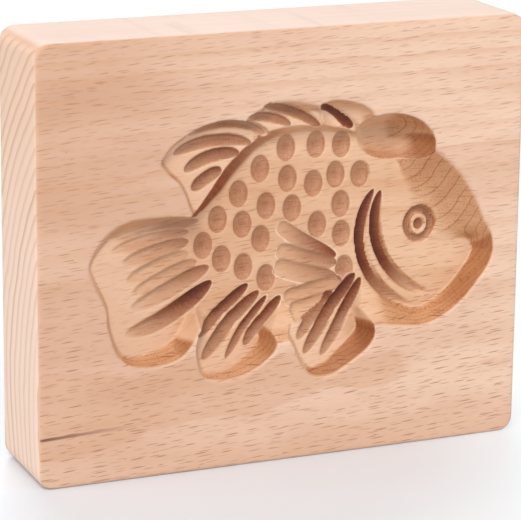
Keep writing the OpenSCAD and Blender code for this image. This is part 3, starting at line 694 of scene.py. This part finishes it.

    # scales are rough grey-brown ovals; grooves are dark brown, with painted shade along their steep flank and a
    # painted highlight on their rim
    rough = paint.noise(paint.point(x * 2.6, y * 2.6, z * 1.4), 4.0, 0.7)
    across_grain = paint.noise(paint.point(paint.own("groove_way") * 3.0, x * 0.5, z * 0.5), 3.0, 0.65)
    specks = paint.noise(paint.point(x * 5.0, y * 5.0, z * 5.0), 2.0, 0.6).ramp(0.46, 0.62)
    rim = groove.ramp(-0.45, -0.1) * groove.ramp(0.1, 0.0) * cut
    side_fin = x.ramp(-5.0, -1.0) * x.ramp(19.0, 15.0) * z.ramp(58.0, 55.0) * z.ramp(32.0, 35.0)
    wood = paint.tint(wood, paint.mix(*SCALE_TINTS, rough.ramp(0.35, 0.65)), in_scale)
    wood = paint.tint(wood, SCALE_MIDDLE_TINT, scale.ramp(0.9, 2.3) * 0.6)
    wood = paint.tint(wood, paint.mix(*GROOVE_TINTS, across_grain.ramp(0.3, 0.7)), in_groove.held())
    wood = paint.tint(wood, DEEP_GROOVE_TINT, ((in_groove - 1.0) * 3.3).held())
    wood = paint.tint(wood, SPECK_TINT, specks * in_groove.most(shaded_band).held() * 0.6)
    # painted highlight along the grooves' rims, stronger on the side fin
    wood = paint.mix(wood, RIM_HIGHLIGHT_WOOD, (rim * (tone.ramp(0.1, 0.8) * 0.2).most(side_fin * 0.5)).held())

    # one dark mineral streak in the lower left, fading to the right
    run = (x - STREAK_LEFT) / STREAK_LENGTH
    off_line = (z - STREAK_HEIGHT - x * STREAK_RISE).size()
    streak = off_line.ramp(0.55, 0.12) * run.ramp(1.0, 0.0) * run.ramp(-0.05, 0.05)
    wood = paint.mix(wood, STREAK_WOOD, (streak * flat * 0.8).held())

    rise = ring * 0.02 + fibre * 0.05 + flecks * -0.02 + rough * (in_scale + in_groove) * 0.25
    return paint.done(paint.node("ShaderNodeBsdfPrincipled", None, {
        "Base Color": wood,
        "Roughness": 0.52 - flecks * 0.1 + end * 0.15,
        "Specular IOR Level": 0.4,
        "Normal": paint.node("ShaderNodeBump", None, dict(Strength=0.35, Distance=0.0004, Height=rise)),
    }))


board_data.materials.append(beech())
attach(board, "root")
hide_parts("mould_board")

# ---------------------------------------------------------------- floor and room
# A glossy white table top in a plain white room. The table shows the board's shadow and reflection near the board;
# further off the camera sees blank white, and so it does where a ray leaves the table.

FLOOR_HALF = 6.0                            # half the table's side, in m
TABLE, WHITE = rgb(223, 228, 234), (1.0, 1.0, 1.0, 1.0)
PATCH_X = -0.028                            # middle of the patch that shows shadow and reflection
PATCH_INNER, PATCH_OUTER = 0.055, 0.115     # how far it is whole, and where it ends
ROOM_LIGHT, ROOM_SEEN = 0.5, 1.0            # strength of the white room on the board, and as the camera sees it

floor_data = bpy.data.meshes.new("floor")
floor_data.from_pydata([(x * FLOOR_HALF, y * FLOOR_HALF, 0) for x, y in ((-1, -1), (1, -1), (1, 1), (-1, 1))],
                       [], [(0, 1, 2, 3)])
floor = bpy.data.objects.new("floor", floor_data)
bpy.context.scene.collection.objects.link(floor)
white = Paint(bpy.data.materials.new("white_table"))
place = white.node("ShaderNodeTexCoord", out="Object")
away = way_from(white.part(place, 0), white.part(place, 1), (PATCH_X, 0.0))
to_camera = white.node("ShaderNodeLightPath", out="Is Camera Ray")
surface = white.node("ShaderNodeBsdfPrincipled", None, {
    "Base Color": TABLE, "Roughness": 0.3, "Specular IOR Level": 0.5})
blank = white.node("ShaderNodeEmission", None, {"Color": WHITE, "Strength": 1.0})
faded = away.ramp(PATCH_INNER, PATCH_OUTER) * to_camera
floor_data.materials.append(white.done(white.node("ShaderNodeMixShader", None, [faded, surface, blank])))

room = Paint(bpy.data.worlds.new("studio"), "ShaderNodeOutputWorld")
seen = room.node("ShaderNodeLightPath", out="Is Camera Ray")
soft = room.node("ShaderNodeBackground", None, [WHITE, ROOM_LIGHT])
clear = room.node("ShaderNodeBackground", None, [WHITE, ROOM_SEEN])
bpy.context.scene.world = room.done(
    room.node("ShaderNodeMixShader", None, [seen.most(seen.beside("Is Glossy Ray")), soft, clear]))

# ---------------------------------------------------------------- lamps
# One big soft lamp hangs above and to the left of the board, as in a studio.
# Three small ones fill in the head's end, the top from behind, and the left end.


def lamp(name, at, aim, size, watts):
    """Square soft lamp at a place, turned to a point."""
    data = bpy.data.lights.new(name, "AREA")
    data.size = size
    data.energy = watts
    o = bpy.data.objects.new(name, data)
    bpy.context.scene.collection.objects.link(o)
    o.location = at
    o.rotation_mode = "QUATERNION"
    o.rotation_quaternion = (Vector(aim) - Vector(at)).to_track_quat("-Z", "Y")


lamp("high_left_lamp", at=(-0.9, -1.35, 1.5), aim=(0, 0, 0.05), size=0.8, watts=33.0)
lamp("right_lamp", at=(0.5, -0.6, 0.35), aim=(0.06, 0, 0.05), size=0.4, watts=0.7)
lamp("back_lamp", at=(0.1, 0.8, 0.9), aim=(0, 0, 0.05), size=0.5, watts=3.5)
lamp("left_end_lamp", at=(-0.9, 0.15, 0.4), aim=(-0.06, 0, 0.05), size=0.4, watts=2.0)

# ---------------------------------------------------------------- camera
# It stands a little to the left of the board and looks slightly down on it.
# Its place and lens were found from the board's seven visible corners in the photograph.

AZIMUTH, ELEVATION, ROLL = (math.radians(a) for a in (22.965892655, 13.953735376, 0.557011))
DISTANCE, OFF_X, OFF_Y = 601.9610573, 6.04507656, -9.21431867      # mm, from the middle of the face
FOCAL, WIDE, RISE = 2632.28333, 521, -52.0     # focal length, picture width and vertical shift, in pixels
SENSOR = 36.0                                  # mm
level = math.cos(ELEVATION)
back_way = Vector((-math.sin(AZIMUTH) * level, -math.cos(AZIMUTH) * level, math.sin(ELEVATION)))
right_way = Vector((math.cos(AZIMUTH), -math.sin(AZIMUTH), 0))
up_way = back_way.cross(right_way)
right_turned = right_way * math.cos(ROLL) + up_way * math.sin(ROLL)
up_turned = up_way * math.cos(ROLL) - right_way * math.sin(ROLL)
middle = Vector((0, -THICK / 2, HEIGHT / 2))
place = (middle + back_way * DISTANCE - right_turned * OFF_X - up_turned * OFF_Y) * MM
camera_data = bpy.data.cameras.new("camera")
camera = bpy.data.objects.new("camera", camera_data)
bpy.context.scene.collection.objects.link(camera)
bpy.context.scene.camera = camera
camera_data.sensor_width = SENSOR
camera_data.lens = FOCAL * SENSOR / WIDE
camera_data.shift_y = RISE / WIDE
camera_data.clip_start, camera_data.clip_end = 0.01, 50.0
camera.matrix_world = Matrix((
    (right_turned.x, up_turned.x, back_way.x, place.x),
    (right_turned.y, up_turned.y, back_way.y, place.y),
    (right_turned.z, up_turned.z, back_way.z, place.z),
    (0, 0, 0, 1)))
bpy.context.scene.view_settings.view_transform = "Standard"
